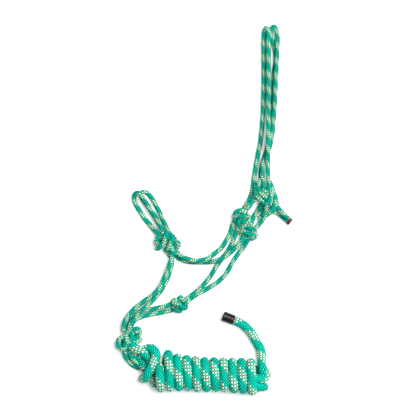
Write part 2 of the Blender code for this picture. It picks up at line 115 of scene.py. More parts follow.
# Routes of the cords, centrelines: x to the right, y to the crown, z up
CROWN_ONE = [
    (58.5, -24, 6), (65.5, -12, 4), (71.3, -1, 3.8), (74.6, 11, 3.8), (77, 30, 3.8), (81.8, 59, 3.8),
    (86.2, 82, 3.8), (89.6, 116, 3.8), (91, 150, 3.8), (91.4, 190, 3.8), (91.2, 225, 3.8),
    (91.3, 240, 4), (92.3, 249, 5.5), (95.2, 255.8, 8.5), (98, 249.5, 11.8), (98.6, 238, 12),
    (98.6, 216, 12), (98.5, 190, 12), (98.4, 160, 12), (98.4, 140, 12), (98.4, 125, 12.8),
    (98.3, 112, 15), (98.2, 100, 17.3), (98.1, 88, 19.2), (98, 75, 20), (97.8, 65, 20),
    (97.6, 55, 18), (97.5, 45, 15.2), (97.6, 34, 14), (98, 24, 14),
]
CROWN_TWO = [
    (89.5, 24, 13), (89.6, 44, 12.4), (92, 55, 12), (96.8, 65, 11.8), (101.2, 78, 11.8),
    (103.8, 91, 11.8), (105.4, 105, 11.8), (106.6, 120, 11.8), (107.8, 135, 11.8),
    (108.6, 150, 11.8), (109.4, 172, 11.8), (110.4, 190, 11.8), (110.9, 207, 11.8),
    (111.7, 221, 11.6), (112.1, 232, 9.6), (112.2, 241, 7), (111.2, 249.5, 5), (106.8, 257.4, 4),
    (102, 251, 3.8), (103.3, 243, 3.8), (106, 231, 3.8), (108.8, 219, 3.8), (109.8, 207, 3.8),
    (108.5, 197.5, 3.8), (107, 189, 3.8), (106.4, 178, 3.8), (106, 162, 3.8), (105.6, 145, 3.8),
    (104.8, 130, 3.8), (103.5, 112, 3.8), (101.5, 100, 3.8), (99.5, 88, 3.8), (97, 75, 3.8),
    (93.3, 62, 3.8), (89.2, 50, 3.8), (87.2, 40, 3.8), (86.7, 27, 3.8), (86, 17, 3.8),
    (83.6, 7, 5), (78.8, -2, 9), (72.8, -10, 11), (66.8, -20, 12),
]
TIE_LEFT_LEG = [
    (87, -12, 9), (84.5, -18, 6.5), (79.8, -25, 5), (75.8, -32, 5), (73, -39, 6), (71, -46, 8),
]
TIE_RIGHT_LEG = [
    (97, -25.5, 16), (91.8, -33, 13), (88, -38.3, 11), (83.3, -44, 11), (77.5, -50.5, 12),
]
TAIL_UPPER = [
    (107.5, -10, 14), (110.5, -15, 13), (115.5, -21, 11.5), (122, -28, 11), (129.1, -35, 10.9),
]
TAIL_LOWER = [
    (102.5, -19.8, 6.5), (107.8, -23.8, 5), (114, -27, 4), (120.6, -32.3, 3.8), (127, -38.2, 3.8),
]
TIP_UPPER = [(129.1, -35, 10.9), (133.2, -38.8, 10.9)]
TIP_LOWER = [(127, -38.2, 3.8), (131, -41.9, 3.8)]
CHEEK_RIGHT = [
    (48.5, -35, 7), (44.1, -44, 5), (39.7, -57.6, 3.8), (30.7, -73.7, 3.8), (24, -81.8, 4),
    (17.2, -87.2, 6.3), (11, -91.5, 9), (4, -96, 11.5), (-9, -98.3, 11.6), (-20, -96.8, 11.6),
    (-31, -93, 11.6), (-40, -86.5, 11.6), (-46, -80, 11.6),
]
CHEEK_LEFT = [
    (66, -58, 10), (58.2, -67.7, 11), (49.6, -77.5, 11.8), (39.4, -87, 12.2), (30.6, -93.6, 12.4),
    (22, -97.5, 11.8), (15, -99.6, 9.3), (9, -100.3, 5.2), (2, -100.5, 3.9), (-9, -100.8, 3.8),
    (-20, -100.2, 3.8), (-31, -98, 3.8), (-38.3, -94, 3.8), (-42.5, -88.5, 3.8), (-44, -82, 4),
]
THROAT_RIGHT = [
    (55.5, -37, 10), (52, -46, 7.5), (47.4, -60, 4.4), (42.3, -74, 3.8), (34.8, -86, 3.8),
    (26.3, -97, 3.8), (18.8, -108.5, 3.8), (11, -121, 3.9), (2.5, -132, 5.8), (-5, -140, 10),
    (-13, -147, 11.6), (-22, -153.5, 11.6), (-32, -160, 11.6),
]
THROAT_LEFT = [
    (70, -60, 8), (65.2, -70.5, 6), (57.4, -81.8, 4), (48.3, -94, 3.8), (39.4, -109.2, 3.8),
    (31, -122, 3.8), (18.2, -133, 3.8), (5.5, -141, 3.8), (-6, -147.3, 3.8), (-16, -153.3, 3.8),
    (-24, -159, 3.8), (-33, -164, 5),
]
NOSEBAND_OUTER = [
    (-63, -66, 11), (-69.3, -57.3, 9), (-78.8, -47, 5), (-90, -33.3, 4), (-98.4, -20.4, 3.8),
    (-104.4, -8.8, 3.8), (-105.8, -1.4, 4.6), (-102.3, 4.5, 8), (-96.9, 3.4, 11.3),
    (-92.5, -3.2, 11.8), (-85, -14, 11.7), (-78, -24.6, 11.7), (-71.2, -35.4, 11.7),
    (-65.1, -47.3, 11.8), (-61, -58, 12),
]
NOSEBAND_INNER = [
    (-55, -66, 14), (-52.9, -56, 12), (-58.4, -44, 7), (-63.8, -32, 4.2), (-68.8, -21, 3.8),
    (-73.8, -11.5, 3.8), (-79.3, -2.5, 3.8), (-84.5, 4, 3.8), (-90.6, 6.3, 3.8), (-94.4, 3.8, 3.8),
    (-94.2, -2, 3.8), (-91.2, -7.2, 3.8), (-84.6, -16, 3.8), (-77.7, -26.6, 3.8), (-70.9, -37.2, 3.8),
    (-64, -48.8, 3.8), (-60, -58, 4),
]
CHIN_UPPER = [
    (-52, -80, 12), (-47.9, -90, 11.6), (-51.8, -105.2, 11.6), (-58.1, -121.3, 11.6),
    (-66.4, -138.4, 11.6), (-77.9, -150.9, 11.6), (-90, -159.4, 11.6), (-104.7, -171.1, 11.6),
    (-117, -185, 11.6), (-121.7, -198, 11.6), (-121, -206, 11.6),
]
CHIN_LOWER = [
    (-58, -82, 6), (-51.6, -89.5, 4.2), (-48.2, -97, 3.8), (-49.1, -106.2, 3.8), (-54.3, -123.8, 3.8),
    (-62.9, -140.9, 3.8), (-73.4, -154.5, 4.5), (-84, -164.9, 9), (-91.2, -171.6, 12.1),
    (-100.3, -180.5, 12), (-107, -188.8, 12), (-112, -198, 12), (-112, -206, 12),
]
FIADOR_UPPER = [
    (-42, -163, 9), (-50, -165, 9), (-60, -167.8, 8.6), (-74, -171, 7.6), (-84, -173, 4.6),
    (-93, -174.8, 3.8), (-105, -179, 3.8), (-114.3, -186, 3.8), (-119.3, -196, 3.8), (-120, -205, 4),
]
FIADOR_LOWER = [
    (-42, -170, 5), (-50, -173.6, 3.8), (-60, -176.2, 3.8), (-74, -179, 3.8), (-85, -181.2, 3.8),
    (-93, -183, 3.8), (-101, -187, 3.8), (-107.5, -192.5, 3.8), (-111, -200, 3.8), (-111.5, -206, 4),
]
FIADOR_LOOP = [
    (-118.5, -229, 12), (-120, -237, 9.5), (-118.8, -243.5, 7), (-114.3, -250.8, 5), (-107.8, -256.8, 4),
    (-100, -261, 3.8), (-91, -261.8, 3.8), (-83, -257.5, 3.8), (-80, -250, 3.8), (-83, -241, 3.8),
    (-91, -236, 5), (-99, -231, 8),
]
FIADOR_LOOP_INNER = [
    (-111.5, -232, 12), (-113, -238, 10.5), (-110.5, -243.5, 10), (-105.5, -249.3, 10),
    (-100, -255.3, 10), (-95.5, -260.5, 10), (-90, -265, 9),
]
LEAD_TAIL = [
    (88.5, -254.5, 17.5), (88.7, -248, 14), (88.3, -240, 10.5), (85.5, -231, 8.4), (81.5, -223.5, 7.9),
    (77.5, -216.5, 7.9), (73, -209, 7.9), (67, -202, 7.9), (60, -195.7, 7.9), (53, -191.5, 7.9),
    (46.8, -189, 7.9),
]

# The free tail's first stretch, as it comes out of the hank; LEAD_TAIL goes on from it
LEAD_EXIT = [(81, -284, 10), (85.5, -279, 10.5), (88.6, -272, 15), (89.4, -264.5, 21)]

# Knots, drawn tight: the turns of cord that show, from one hidden place to the next
KNOTS = {
    "cheek_knot_right": ("cheeks", [
        [(66.5, -15, 8), (63.5, -23, 10), (60.5, -29, 10), (59.5, -35.5, 8)],
        [(62.5, -26, 9), (59, -22.6, 13), (53.4, -22.2, 14.5), (48.6, -25.4, 13.5), (47.6, -31, 12.5),
         (53.2, -31.4, 17), (60.2, -30.6, 19), (66.4, -29.4, 16.5), (69.3, -32.4, 11)],
        [(69.5, -34, 9.5), (66.8, -38.4, 14.5), (60.8, -39.4, 16.5), (55, -38.6, 13.5), (51.8, -36, 9)],
        [(53, -34, 11), (53.6, -40.6, 14.5), (53.6, -47, 11), (51.7, -53, 8)],
        [(50, -30, 8), (47.5, -35.5, 10), (46.5, -39.5, 7.5)],
        [(53, -27, 9), (57.5, -32.5, 10.5), (63, -36, 9)],
    ]),
    "cheek_knot_left": ("cheeks", [
        [(57.8, -52.5, 9), (59, -48, 14), (64.4, -46.4, 17), (70.6, -49.2, 18), (75.8, -53.2, 16.5),
         (79.2, -58, 14), (77.3, -62.8, 12), (72.2, -64.8, 11), (68, -61.6, 9)],
        [(57, -58, 9), (57.5, -54.4, 13), (62.7, -55.4, 17), (68.8, -58, 17.5), (74.3, -61.1, 14),
         (75, -65.4, 10)],
        [(65, -51, 12), (70.8, -53.6, 15.5), (75.2, -58, 14.5), (73, -62.4, 12)],
        [(71, -45.5, 9), (65.5, -53, 10), (60.5, -61, 9.5), (57.5, -66.5, 10.5)],
        [(76.5, -48.5, 10), (72, -55.5, 10.5), (68, -64, 9.5), (65, -71, 6.5)],
    ]),
    "nose_knot_left": ("cheeks", [
        [(-61, -64, 9), (-65.5, -61.5, 13), (-70, -64, 15), (-71.5, -69, 14), (-69, -74, 10)],
        [(-61, -70.5, 18), (-64.5, -75, 18), (-68.5, -79, 15), (-71, -80, 10)],
        [(-56.5, -55.5, 14), (-57.5, -61.5, 18.5), (-59, -67.5, 19.5), (-62, -72.5, 18.5),
         (-66, -77, 15.5), (-69.5, -78.5, 11)],
        [(-68, -65, 6), (-65, -70.5, 6.5), (-62.5, -77, 6)],
    ]),
    "nose_knot_right": ("cheeks", [
        [(-53.5, -54.5, 12), (-49.5, -59.5, 15), (-45, -64, 15), (-43, -67.5, 12)],
        [(-46.5, -63, 15), (-48.5, -68.5, 18), (-51, -74.5, 18.5), (-54.5, -79, 16), (-59.5, -81.5, 11)],
        [(-45, -71.5, 10), (-41.5, -70, 14), (-38, -72, 15), (-38.5, -77, 14), (-43, -78.5, 12),
         (-47.5, -77, 10)],
        [(-50.5, -71.5, 12), (-49.5, -78.5, 15), (-47.5, -84.5, 14), (-43.5, -89, 12)],
        [(-54.5, -71.5, 9), (-51.5, -80.5, 10), (-48.5, -89, 9)],
        [(-57.5, -64, 7), (-54.5, -72, 7), (-52, -80, 7)],
    ]),
    "throat_knot": ("cheeks", [
        [(-35.5, -165, 9), (-40.5, -159.5, 13.5), (-45, -158.5, 14.5), (-47.5, -163, 12),
         (-44.5, -168.5, 9)],
        [(-29.5, -163.5, 9), (-32, -157, 14.5), (-35.5, -154, 15.5), (-38, -157, 14),
         (-37, -162.5, 10)],
        [(-46, -163.5, 12), (-41.5, -165, 17), (-36, -167, 18.5), (-31, -170, 17.5),
         (-27.5, -170.5, 13), (-27, -166.5, 9)],
        [(-21.5, -157.5, 11), (-25.5, -161, 14.5), (-28, -165.5, 14.5), (-31, -171, 11)],
        [(-46.5, -170, 10), (-41.5, -173.5, 13.5), (-36.5, -175, 13), (-34, -171, 10)],
        [(-45, -163.5, 6.5), (-38, -166, 7), (-31, -166.5, 6.5)],
    ]),
    "tie_knot": ("crown", [
        [(88.5, 26.5, 10), (84, 20.5, 13), (82.3, 13.7, 15.5), (85.2, 6.8, 18), (90.4, 0.8, 19),
         (95.2, -5.3, 17), (99.2, -10.6, 12)],
        [(82.5, 18.2, 10), (79.3, 11.4, 12.5), (78.8, 5.3, 15), (82.2, -1.5, 17), (87.8, -7.3, 17.5),
         (93.1, -12.6, 15), (98.4, -18.2, 11)],
        [(98.5, 24.5, 13), (99, 15, 15.5), (98.5, 7.5, 16), (96, 0, 14), (94, -7.5, 10)],
        [(90.5, 24.5, 13), (91, 15, 14), (93.5, 7, 14), (96, -1.5, 12)],
        [(99.5, 23, 10.5), (102.8, 16, 14), (105.6, 8.5, 15.5), (108, 0, 16), (109.4, -7.5, 15),
         (112, -15, 13)],
        [(103.5, 14, 13), (103.8, 6.5, 17), (101.4, -2.5, 20.5), (97.8, -12, 21), (94, -21.5, 17.5),
         (90, -30, 14)],
        [(109.5, 0, 12), (108.6, -8.5, 15.5), (106.3, -16.5, 16.5), (102.3, -23.5, 15), (96, -29.5, 11.5)],
        [(96, -9, 9), (91, -13.5, 11), (87, -18, 9), (83, -22.5, 6.5)],
        [(97.5, -15, 9), (92.5, -23, 10.5), (87.5, -30.5, 9), (84, -35, 7)],
        [(98, -14, 10), (102.5, -20, 9), (108.5, -25.5, 6)],
    ]),
    "fiador_knot": ("cheeks", [
        [(-117.5, -210, 13), (-113, -206, 15), (-107, -203.5, 16), (-100.5, -201.5, 16),
         (-97, -205, 15), (-98, -210.5, 14), (-102, -215, 14), (-107, -219.5, 14)],
        [(-109.5, -203.5, 13), (-109.5, -210, 17.5), (-110, -216.5, 18), (-112.5, -222, 16.5),
         (-116, -226.5, 14)],
        [(-115, -213.5, 14), (-109, -216.5, 15.5), (-103.5, -220, 17), (-98, -220.5, 15.5),
         (-95.5, -217, 11)],
        [(-115, -209, 12), (-122, -214.5, 14.5), (-128, -217, 15), (-130, -222.5, 14),
         (-129, -229, 14), (-123.5, -232.5, 14.5), (-116.5, -231, 16), (-111, -227, 17.5),
         (-107, -221.5, 16)],
        [(-118.5, -206, 12), (-117.5, -214.5, 17), (-118, -221, 17.5), (-120, -227.5, 15.5),
         (-120, -234, 12)],
        [(-107.5, -222.5, 12), (-103.5, -227, 16), (-98.5, -230.5, 15), (-92.5, -232, 12)],
        [(-116, -207, 7), (-109, -209, 6), (-103.5, -211.5, 6), (-99, -217.5, 7)],
        [(-124, -213, 8), (-125.5, -219, 6.5), (-124.5, -225, 6.5), (-119, -230, 7.5)],
    ]),
}

# The lead's turns round the fiador loop
HITCH_ROUTES = [
    [(-109, -226.5, 17), (-104, -232, 20), (-95.5, -235, 22), (-88.5, -240.5, 21),
     (-82, -247.5, 18), (-77.5, -253, 19.5), (-76, -255, 26)],
    [(-97.5, -243, 9), (-94, -236.3, 14), (-87.5, -232.6, 20), (-80.5, -231.2, 25), (-74, -236, 28),
     (-72.5, -244, 30), (-76, -253.5, 30), (-81, -264, 29), (-86.8, -272.5, 26), (-91, -277, 19.5),
     (-92.5, -277.5, 10)],
    [(-109.5, -234.5, 8), (-103, -240.5, 7.4), (-96, -248.5, 8.5), (-91.5, -256, 11), (-89, -264, 12)],
]

# The hank: middle of the first turn, spacing, thickness, lean of a turn across the top, how
# square a turn is, and where each turn reaches
HANK_FIRST_TURN_X = -66.4
HANK_PITCH = 13.9
HANK_HEIGHT = 46.0
HANK_SLANT = 2.5
HANK_ROUNDING = 2.7
HANK_TOPS = [-252, -233, -238.5, -241, -242.5, -244, -244.5, -245, -245, -245.5, -246]
HANK_BOTTOMS = [-299, -298.5, -297.3, -297.6, -298.6, -298.6, -298.6, -299, -300.3, -301.6, -303.8]
POINTS_PER_TURN = 20
QUARTER = 0.25
# The share of a turn that the last one goes on past the top's middle
LAST_TURN_SHARE = 0.3

# The folded runs that the turns wrap; only the ends and the bends on the right show
HIDDEN_RUNS = [
    (-91, -268, 14), (-84, -276, 12), (-74, -280, 14), (-62, -279, 18), (-40, -277, 19),
    (0, -277, 19), (45, -279, 16), (70, -286, 11), (84.5, -290, 9.6), (89.7, -290.4, 11.8),
    (91.8, -290.5, 16.9), (89.7, -290.3, 22), (84.5, -289.3, 24.2), (70, -285, 26),
    (45, -279, 28), (0, -277, 27), (-40, -277, 27), (-54.5, -277, 27), (-59.1, -275.5, 25.8),
    (-61, -272, 22.8), (-59.1, -268.5, 19.7), (-54.5, -267, 18.5), (-40, -267, 18.5),
    (0, -266.5, 18.5), (45, -266, 17), (70, -265, 10), (84, -264.6, 7.6), (91.5, -265.6, 10),
    (95.6, -269.6, 16.2), (95.2, -274.6, 23.4), (88.5, -277.7, 29.4), (76, -277, 30.5),
    (60, -271, 29), (45, -266.5, 28), (0, -266.5, 27.5), (-38, -267, 27), (-53, -268.5, 25.5),
    (-62, -273.5, 24.5), (-69.5, -281.5, 21), (-73, -286, 15), (-73.6, -283.6, 9.2),
]
# From under the last turn to the free tail
LAST_RUN = [(76, -295.5, 15.5), (78.8, -290.5, 11.2)]


def world(points):
    """Route millimetres to world metres."""
    return (np.asarray(points, float) + ORIGIN) * MM


# Lines

def blend_point(a, b, c, d, s):
    """Catmull-Rom point between b and c, with knots spaced by the root of the distance."""
    t1 = math.sqrt((b - a).length)
    t2 = t1 + math.sqrt((c - b).length)
    t3 = t2 + math.sqrt((d - c).length)
    t = t1 + (t2 - t1) * s
    ab = a * ((t1 - t) / t1) + b * (t / t1)
    bc = b * ((t2 - t) / (t2 - t1)) + c * ((t - t1) / (t2 - t1))
    cd = c * ((t3 - t) / (t3 - t2)) + d * ((t - t2) / (t3 - t2))
    abc = ab * ((t2 - t) / t2) + bc * (t / t2)
    bcd = bc * ((t3 - t) / (t3 - t1)) + cd * ((t - t1) / (t3 - t1))
    return abc * ((t2 - t) / (t2 - t1)) + bcd * ((t - t1) / (t2 - t1))


def smooth_route(points, step=0.8):
    """Points about every step millimetres on a smooth curve through the route points."""
    knots = [Vector(p) for p in points]
    knots = [knots[0] * 2 - knots[1]] + knots + [knots[-1] * 2 - knots[-2]]
    out = []
    for i in range(1, len(knots) - 2):
        a, b, c, d = knots[i - 1:i + 3]
        count = max(2, round((c - b).length / step))
        out.extend(blend_point(a, b, c, d, k / count) for k in range(count))
    out.append(knots[-2])
    return np.array([tuple(p) for p in out])


def spaced(line, step):
    """The line again, with points a whole number of equal steps apart."""
    lengths = np.linalg.norm(np.diff(line, axis=0), axis=1)
    along = np.concatenate([[0.0], np.cumsum(lengths)])
    count = max(4, round(along[-1] / step))
    at = np.linspace(0.0, along[-1], count + 1)
    return np.stack([np.interp(at, along, line[:, k]) for k in range(3)], axis=1)


def unit(vectors):
    """The vectors, each made one long."""
    return vectors / np.maximum(np.linalg.norm(vectors, axis=-1, keepdims=True), 1e-9)


def directions(line):
    """The way the line runs at each of its points."""
    ahead = np.vstack([line[1:], 2 * line[-1] - line[-2]])
    behind = np.vstack([2 * line[0] - line[1], line[:-1]])
    return unit(ahead - behind)


def sideways(line, along):
    """One unit vector across the line at each point, turning as little as possible."""
    first = np.cross(along[0], (0.0, 0.0, 1.0))
    if np.linalg.norm(first) < 0.1:
        first = np.cross(along[0], (0.0, 1.0, 0.0))
    sides = [unit(first)]
    for i in range(len(line) - 1):
        step = line[i + 1] - line[i]
        side = sides[-1] - 2 * step * (step @ sides[-1]) / (step @ step)
        turned = along[i] - 2 * step * (step @ along[i]) / (step @ step)
        bend = along[i + 1] - turned
        if bend @ bend > 1e-12:
            side = side - 2 * bend * (bend @ side) / (bend @ bend)
        sides.append(side)
    return np.array(sides)


# Braided tubes

def yarn_relief(rows, columns):
    """Height from 0 in a groove to 1 on a yarn's crown, for lattice rows and columns."""
    height = 1.0
    for across in (rows - columns, rows + columns):
        from_middle = np.abs(np.mod(across, STEPS_PER_YARN) / STEPS_PER_YARN - 0.5)
        height = height * (1 - (2 * from_middle) ** YARN_POWER) ** CROWN_POWER
    return height


def tube_arrays(line, braid, phase=0):
    """Points, triangles and texture coordinates of a braided tube along a line."""
    around = STEPS_PER_YARN * braid.yarns
    line = spaced(line, braid.lay / around)
    along = directions(line)
    side = sideways(line, along)
    up = np.cross(side, along)
    rows = np.arange(len(line))[:, None] + phase
    columns = np.arange(around)[None, :]
    angle = 2 * np.pi * columns / around
    relief = yarn_relief(rows, columns)
    radius = braid.diameter / 2 - braid.groove * (1 - relief)
    radius[[0, -1]] *= END_SHARE
    reach = side[:, None] * np.cos(angle)[..., None] + up[:, None] * np.sin(angle)[..., None]
    points = (line[:, None] + reach * radius[..., None]).reshape(-1, 3)
    faces, places = lattice_triangles(len(line), around, phase)
    ends, end_places = end_fans(len(line), around, len(points))
    points = np.vstack([points, line[0], line[-1]])
    return points, np.vstack([faces, ends]), np.vstack([places, end_places])


def lattice_triangles(count, around, phase):
    """Two triangles for each lattice square, cut along the groove that crosses it."""
    grids = np.meshgrid(np.arange(count - 1), np.arange(around), indexing="ij")
    m, k = [grid.ravel() for grid in grids]
    falling, rising = m + phase - k, m + phase + k
    turn = ((rising + 1) % STEPS_PER_YARN == 0) | (falling % 2 == 1)
    turn &= falling % STEPS_PER_YARN != 0
    corners = np.array([[0, 0], [1, 0], [1, 1], [0, 1]])
    straight = np.array([[0, 1, 2], [0, 2, 3]])
    turned = np.array([[0, 1, 3], [1, 2, 3]])
    picked = np.where(turn[:, None, None], turned, straight)
    row = m[:, None, None] + corners[picked, 0]
    column = k[:, None, None] + corners[picked, 1]
    faces = (row * around + column % around).reshape(-1, 3)
    places = np.stack([column / around, (row + phase) / around], axis=-1).reshape(-1, 3, 2)
    return faces, places


def end_fans(count, around, centre):
    """Triangles that close a tube's two ends, whose middles are points centre and centre + 1."""
    k = np.arange(around)
    n = (k + 1) % around
    last = (count - 1) * around
    first_fan = np.stack([k, n, np.full(around, centre)], axis=1)
    last_fan = np.stack([last + n, last + k, np.full(around, centre + 1)], axis=1)
    faces = np.vstack([first_fan, last_fan])
    # The ends are hidden, so they all take one place in the pattern, in the dark of a groove
    return faces, np.full((len(faces), 3, 2), 0.5 / around)


def mesh_object(name, parts, material):
    """One object from several sets of points, triangles and texture coordinates."""
    points, faces, places, start = [], [], [], 0
    for part_points, part_faces, part_places in parts:
        points.append(part_points)
        faces.append(part_faces + start)
        places.append(part_places)
        start += len(part_points)
    points, faces, places = np.vstack(points), np.vstack(faces), np.vstack(places)
    mesh = bpy.data.meshes.new(name)
    mesh.vertices.add(len(points))
    mesh.vertices.foreach_set("co", world(points).astype(np.float32).ravel())
    mesh.loops.add(faces.size)
    mesh.loops.foreach_set("vertex_index", faces.astype(np.int32).ravel())
    mesh.polygons.add(len(faces))
    mesh.polygons.foreach_set("loop_start", np.arange(0, faces.size, 3, dtype=np.int32))
    mesh.polygons.foreach_set("use_smooth", np.ones(len(faces), bool))
    mesh.update(calc_edges=True)
    mesh.uv_layers.new(name="braid").data.foreach_set("uv", places.astype(np.float32).ravel())
    mesh.materials.append(material)
    obj = bpy.data.objects.new(name, mesh)
    bpy.context.scene.collection.objects.link(obj)
    return obj


def cords(name, routes, braid, material, phase=0):
    """A piece of one or more braided cords along routes."""
    parts = [tube_arrays(smooth_route(route), braid, phase + ROUTE_PHASE * index)
             for index, route in enumerate(routes)]
    return mesh_object(name, parts, material)


# Shader nodes

def feed(tree, socket, value):
    """Join a value's node to a socket, or set the socket to a plain value."""
    if isinstance(value, bpy.types.NodeSocket):
        tree.links.new(value, socket)
    else:
        socket.default_value = value


def node(tree, kind, inputs=None, **settings):
    """A new node with its settings, and its inputs by name or number."""
    made = tree.nodes.new(kind)
    for key, value in settings.items():
        setattr(made, key, value)
    for key, value in (inputs or {}).items():
        feed(tree, made.inputs[key], value)
    return made


def calc(tree, operation, *values):
    """The result of a sum on sockets or numbers."""
    inputs = dict(enumerate(values))
    return node(tree, "ShaderNodeMath", inputs, operation=operation).outputs[0]


def ramp(tree, value, low, high, start=0.0, end=1.0):
    """A value eased from start to end as it goes from low to high."""
    inputs = {"Value": value, "From Min": low, "From Max": high, "To Min": start, "To Max": end}
    made = node(tree, "ShaderNodeMapRange", inputs, interpolation_type="SMOOTHSTEP")
    return made.outputs[0]


def mix(tree, share, first, second, blend="MIX"):
    """A share of the second colour over the first."""
    made = node(tree, "ShaderNodeMix", {0: share}, data_type="RGBA", blend_type=blend)
    feed(tree, made.inputs[6], first)
    feed(tree, made.inputs[7], second)
    return made.outputs[2]


def noise(tree, vector, scale, detail):
    """Cloudy values from 0 to 1."""
    inputs = {"Vector": vector, "Scale": scale, "Detail": detail}
    return node(tree, "ShaderNodeTexNoise", inputs).outputs[0]


def new_material(name):
    """A material with its node tree and its shader."""
    material = bpy.data.materials.new(name)
    material.use_nodes = True
    tree = material.node_tree
    return material, tree, tree.nodes["Principled BSDF"]


def plug(tree, shader, **inputs):
    """Feed the shader's inputs, named with underscores for spaces."""
    for key, value in inputs.items():
        feed(tree, shader.inputs[key.replace("_", " ")], value)


def weave(tree, braid):
    """Which yarn lies on top, where on it a point is, how deep it lies and whether it is cream."""
    place = node(tree, "ShaderNodeUVMap", uv_map="braid").outputs[0]
    xyz = node(tree, "ShaderNodeSeparateXYZ", {0: place})
    u, v = xyz.outputs[0], xyz.outputs[1]
    first = calc(tree, "MULTIPLY", calc(tree, "SUBTRACT", v, u), float(braid.yarns))
    second = calc(tree, "MULTIPLY", calc(tree, "ADD", v, u), float(braid.yarns))
    first_yarn, second_yarn = calc(tree, "FLOOR", first), calc(tree, "FLOOR", second)
    group = calc(tree, "FLOORED_MODULO", first_yarn, float(braid.repeat))
    in_group = calc(tree, "LESS_THAN", group, braid.cream - 0.5)
    wave = calc(tree, "MULTIPLY", calc(tree, "SINE", calc(tree, "MULTIPLY", first, math.pi)),
                calc(tree, "SINE", calc(tree, "MULTIPLY", second, math.pi)))
    # The cream yarns are fuller, so they cover a little more than half of their bands
    wave = calc(tree, "ADD", wave, calc(tree, "MULTIPLY", in_group, CREAM_FULLNESS))
    first_on_top = calc(tree, "GREATER_THAN", wave, 0.0)
    is_cream = calc(tree, "MULTIPLY", first_on_top, in_group)

    def chosen(when_first, otherwise):
        """One value where the first yarn is on top, the other elsewhere."""
        made = node(tree, "ShaderNodeMix", {0: first_on_top, 2: otherwise, 3: when_first})
        return made.outputs[0]

    first_part, second_part = calc(tree, "FRACT", first), calc(tree, "FRACT", second)
    across, along = chosen(first_part, second_part), chosen(second_part, first_part)
    # Second yarns get numbers between those of the first, so that no two share a shade
    yarn = chosen(first_yarn, calc(tree, "ADD", second_yarn, 0.37))
    # The wave is nothing along the edges of each crossing, and that is where it is deepest
    depth = ramp(tree, calc(tree, "ABSOLUTE", wave), 0.0, 0.8, 1.0, 0.0)
    return across, along, yarn, depth, is_cream


def yarn_light(tree, filament, yarn):
    """Grey that lightens and darkens the filaments, each yarn's dye and wider patches."""
    dye = node(tree, "ShaderNodeTexWhiteNoise", {"W": yarn}, noise_dimensions="1D").outputs[0]
    where = node(tree, "ShaderNodeTexCoord").outputs["Object"]
    fade = noise(tree, where, 45.0, 3.0)
    light = calc(tree, "ADD", ramp(tree, filament, 0.3, 0.7, 0.82, 1.1),
                 ramp(tree, dye, 0, 1, -0.05, 0.05))
    light = calc(tree, "MULTIPLY", light, ramp(tree, fade, 0.3, 0.7, 0.92, 1.07))
    return node(tree, "ShaderNodeCombineColor", {0: light, 1: light, 2: light}).outputs[0]


def braid_material(name, braid, teal, cream, shade):
    """Yarns over and under each other, cream groups in one direction only."""
    material, tree, shader = new_material(name)
    across, along, yarn, depth, is_cream = weave(tree, braid)
    stretched = {0: calc(tree, "MULTIPLY", across, 7.0), 1: calc(tree, "MULTIPLY", along, 1.1),
                 2: calc(tree, "MULTIPLY", yarn, 2.3)}
    filament_place = node(tree, "ShaderNodeCombineXYZ", stretched).outputs[0]
    filament = noise(tree, filament_place, 1.0, 3.0)
    colour = mix(tree, is_cream, teal, cream)
    colour = mix(tree, 1.0, colour, yarn_light(tree, filament, yarn), "MULTIPLY")
    colour = mix(tree, calc(tree, "MULTIPLY", depth, SHADE_SHARE), colour, shade)
    rough = ramp(tree, filament, 0.2, 0.8, 0.62, 0.42)
    height = calc(tree, "SUBTRACT", calc(tree, "MULTIPLY", filament, 0.5), depth)
    relief = {"Strength": 0.55, "Distance": braid.groove * 0.4 * MM, "Height": height}
    bump = node(tree, "ShaderNodeBump", relief).outputs[0]
    plug(tree, shader, Base_Color=colour, Roughness=rough, Normal=bump,
         Specular_IOR_Level=0.05)
    return material


def scorched_material():
    """Sheath melted back to a red-brown bead, darker where it charred, with small lighter orange spots of
    painted highlight.
    """
    material, tree, shader = new_material("melted_tip")
    where = node(tree, "ShaderNodeTexCoord").outputs["Object"]
    patches = ramp(tree, noise(tree, where, 420.0, 4.0), 0.38, 0.62)
    colour = mix(tree, patches, (0.012, 0.003, 0.002, 1), (0.16, 0.026, 0.009, 1))
    # Painted highlight: small lighter orange spots laid into the bead's colour
    painted_highlight = ramp(tree, noise(tree, where, 900.0, 2.0), 0.62, 0.75)
    colour = mix(tree, painted_highlight, colour, (0.30, 0.09, 0.03, 1))
    bump = node(tree, "ShaderNodeBump", {"Strength": 0.6, "Distance": 0.3 * MM, "Height": patches})
    plug(tree, shader, Base_Color=colour, Roughness=0.45, Normal=bump.outputs[0],
         Specular_IOR_Level=0.3)
    return material


def sleeve_material():
    """Shrunk black plastic, satin, faintly scuffed."""
    material, tree, shader = new_material("black_sleeve")
    where = node(tree, "ShaderNodeTexCoord").outputs["Object"]
    scuff = noise(tree, where, 700.0, 4.0)
    colour = mix(tree, ramp(tree, scuff, 0.45, 0.75), (0.003, 0.003, 0.0034, 1),
                 (0.010, 0.010, 0.011, 1))
    rough = ramp(tree, scuff, 0.3, 0.7, 0.3, 0.5)
    bump = node(tree, "ShaderNodeBump", {"Strength": 0.25, "Distance": 0.2 * MM, "Height": scuff})
    plug(tree, shader, Base_Color=colour, Roughness=rough, Normal=bump.outputs[0],
         Specular_IOR_Level=0.25)
    return material


# The lead rope

def eased(share):
    """A share from 0 to 1 that starts and ends gently."""
    return share * share * (3 - 2 * share)


def between_turns(values, place):
    """The value at a place counted in turns, eased between neighbouring turns."""
    low = min(max(math.floor(place), 0), len(values) - 2)
    share = eased(min(max(place - low, 0.0), 1.0))
    return values[low] * (1 - share) + values[low + 1] * share


